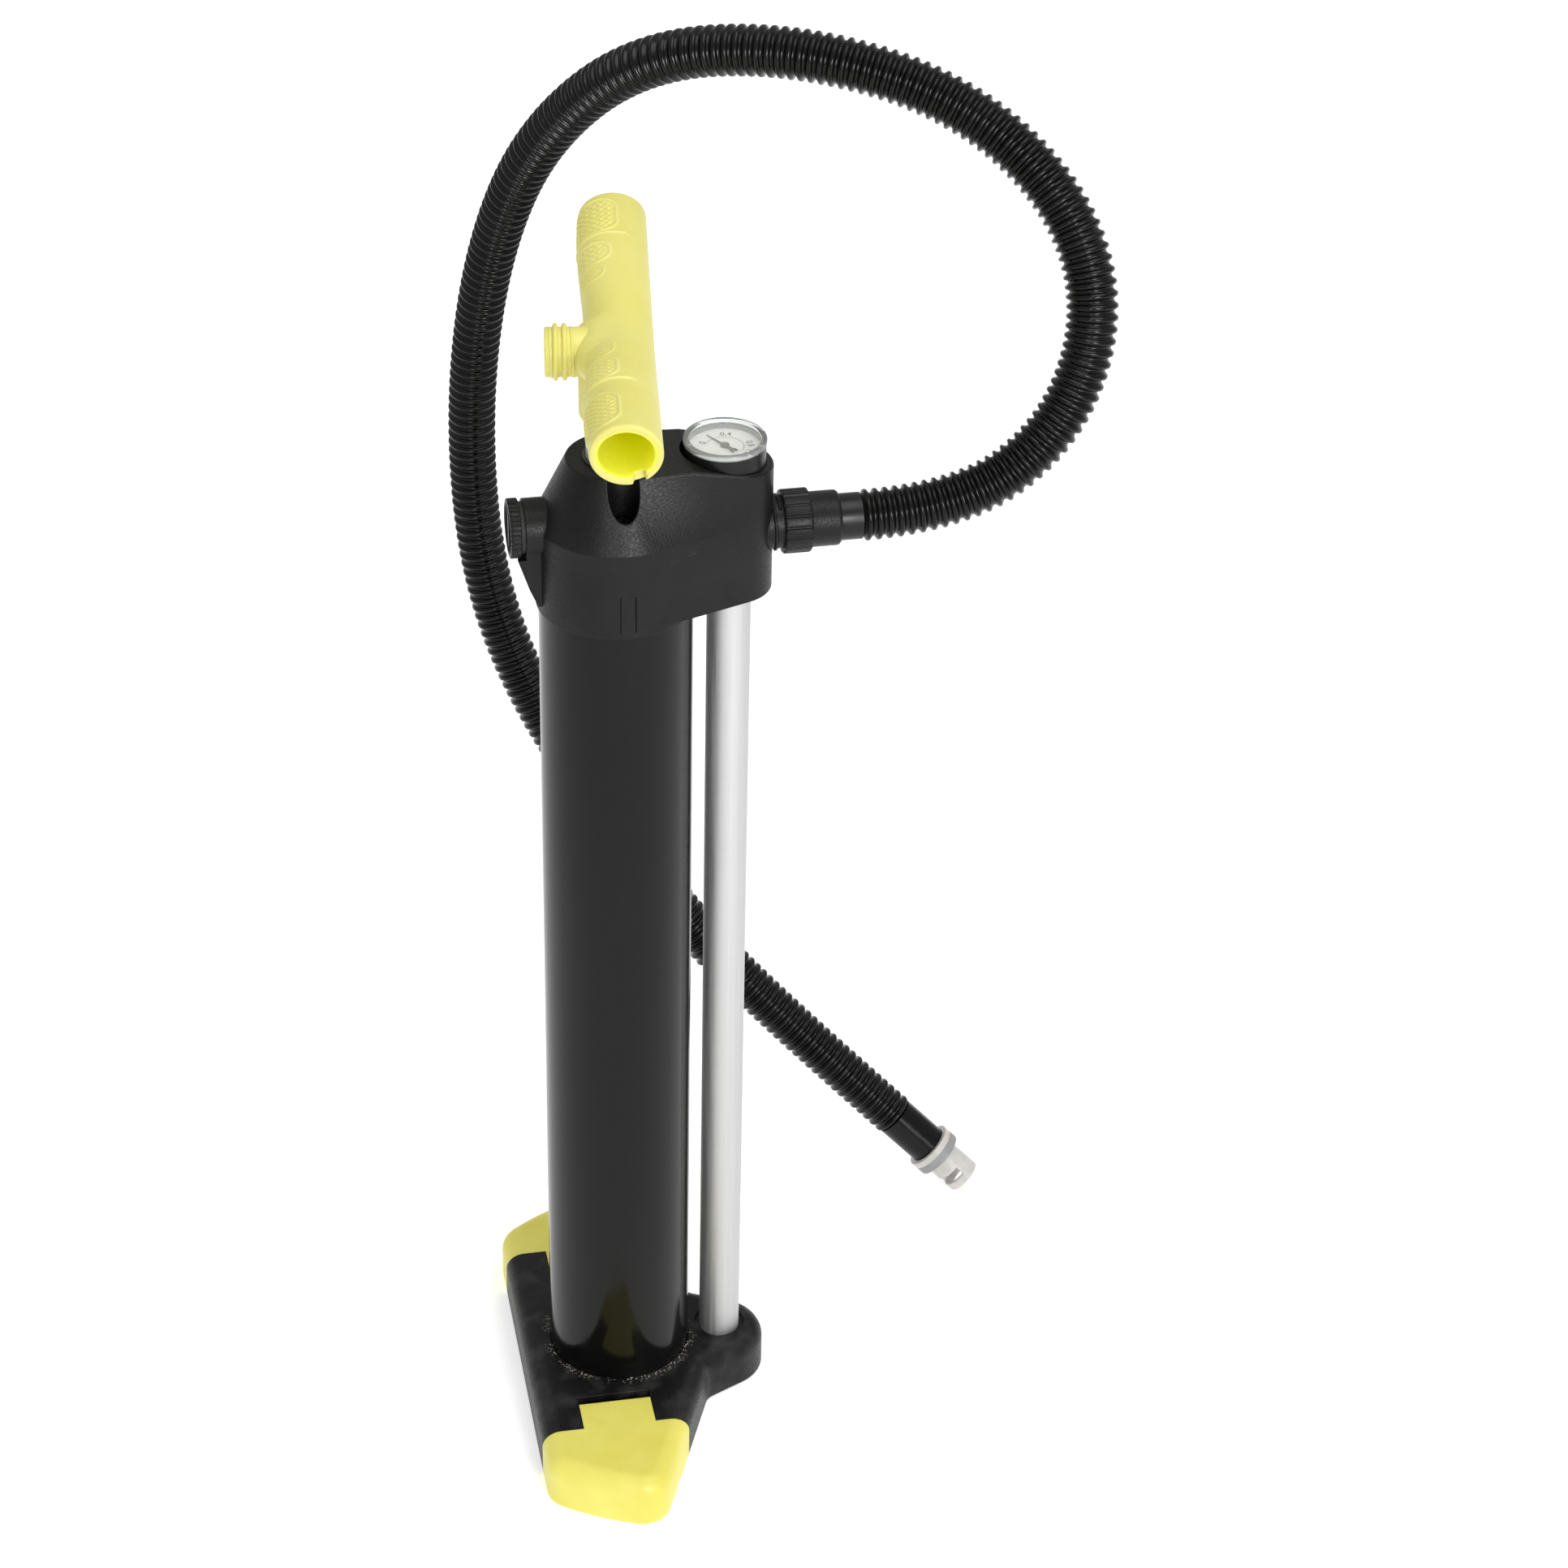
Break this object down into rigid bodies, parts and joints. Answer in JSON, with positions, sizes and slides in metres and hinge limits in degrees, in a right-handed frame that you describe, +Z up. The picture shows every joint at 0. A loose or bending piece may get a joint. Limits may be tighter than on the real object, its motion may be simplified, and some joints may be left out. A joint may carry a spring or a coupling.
{
  "type": "double action hand pump",
  "caption": "Floor pump with a hollow T handle, tall barrel with a side air tube, tapered head with pressure gauge and a corrugated hose ending in a bayonet plug.",
  "frame": {"origin": "on the barrel's axis at the floor", "axes": "+Z up along the barrel, +X from the barrel towards the side tube and the hose outlet, -Y towards the front foot cap"},
  "size_m": [0.3197, 0.4014, 0.7859],
  "materials": {
    "black_abs": "satin moulded black plastic",
    "yellow_pe": "soft satin lemon yellow plastic",
    "barrel_black": "gloss black painted aluminium",
    "anodised": "satin anodised aluminium",
    "steel_screw": "plated steel",
    "brass_fitting": "turned brass",
    "black_rubber": "soft black rubber",
    "grey_rubber": "soft grey rubber",
    "bush_acetal": "black acetal",
    "dial_white": "matt white print on aluminium",
    "needle_black": "matt black",
    "lens_clear": "clear acrylic",
    "gauge_black": "gloss black plastic",
    "hose_black": "satin black corrugated plastic",
    "plug_white": "slightly translucent off-white plastic"
  },
  "bodies": {
    "pump_body": {"base_housing": "black_abs", "foot_cap_front": "yellow_pe", "foot_cap_back": "yellow_pe", "base_bottom_plate": "black_abs", "base_screws": "steel_screw", "base_check_valve": "black_rubber", "barrel_foot_seal": "black_rubber", "side_tube_foot_seal": "black_rubber", "side_tube_head_seal": "black_rubber", "barrel_tube": "barrel_black", "side_tube": "anodised", "head_housing": "black_abs", "barrel_collar": "black_abs", "cylinder_cover": "black_abs", "cylinder_cover_seal": "black_rubber", "head_check_valve": "black_rubber", "head_screws": "steel_screw", "rod_bush": "bush_acetal", "rod_seal": "black_rubber", "gauge_case": "gauge_black", "gauge_stem": "brass_fitting", "gauge_movement": "brass_fitting", "gauge_dial": "dial_white", "gauge_lens": "lens_clear", "outlet_seal": "black_rubber", "hose_neck": "gauge_black", "hose": "hose_black", "hose_end_cuff": "black_abs", "plug_body": "plug_white", "plug_washer": "grey_rubber"},
    "piston_ring": {"piston_seal": "black_rubber"},
    "plunger": {"piston_core": "black_abs", "piston_upper_flap": "black_rubber", "piston_lower_flap": "black_rubber", "piston_flap_screw": "steel_screw", "piston_rod": "anodised", "rod_pin": "steel_screw", "handle": "yellow_pe", "handle_screw": "steel_screw"},
    "needle": {"gauge_needle": "needle_black"},
    "port_ring": {"port_gasket": "black_rubber"},
    "cap_body": {"port_cap": "black_abs"},
    "nut_ring": {"nut_slip_ring": "bush_acetal"},
    "nut_body": {"hose_nut": "black_abs"}
  },
  "joints": [
    {"name": "piston_stroke", "type": "slide", "parent": "pump_body", "child": "piston_ring", "axis": [0, 0, 1], "range_m": [0, 0.518]},
    {"name": "plunger_turn", "type": "hinge", "parent": "piston_ring", "child": "plunger", "pos_m": [0, 0, 0.4], "axis": [0, 0, 1], "continuous": true},
    {"name": "needle_swing", "type": "hinge", "parent": "pump_body", "child": "needle", "pos_m": [0.056, 0, 0.615], "axis": [0, 0, -1], "range_deg": [0, 200], "stiffness_Nm_per_rad": 0.00002},
    {"name": "port_cap_lift", "type": "slide", "parent": "pump_body", "child": "port_ring", "axis": [-1, 0, 0], "range_m": [0, 0.005]},
    {"name": "port_cap_turn", "type": "hinge", "parent": "port_ring", "child": "cap_body", "pos_m": [-0.05, 0, 0.5764], "axis": [-1, 0, 0], "range_deg": [0, 720]},
    {"name": "nut_travel", "type": "slide", "parent": "pump_body", "child": "nut_ring", "axis": [1, 0, 0], "range_m": [0, 0.006]},
    {"name": "nut_turn", "type": "hinge", "parent": "nut_ring", "child": "nut_body", "pos_m": [0.1, 0, 0.568], "axis": [1, 0, 0], "range_deg": [0, 720]}
  ],
  "couplings": [
    {"joint": "port_cap_turn", "follows": "port_cap_lift", "rad_per_m": 2513.2},
    {"joint": "nut_turn", "follows": "nut_travel", "rad_per_m": 2094.3}
  ]
}
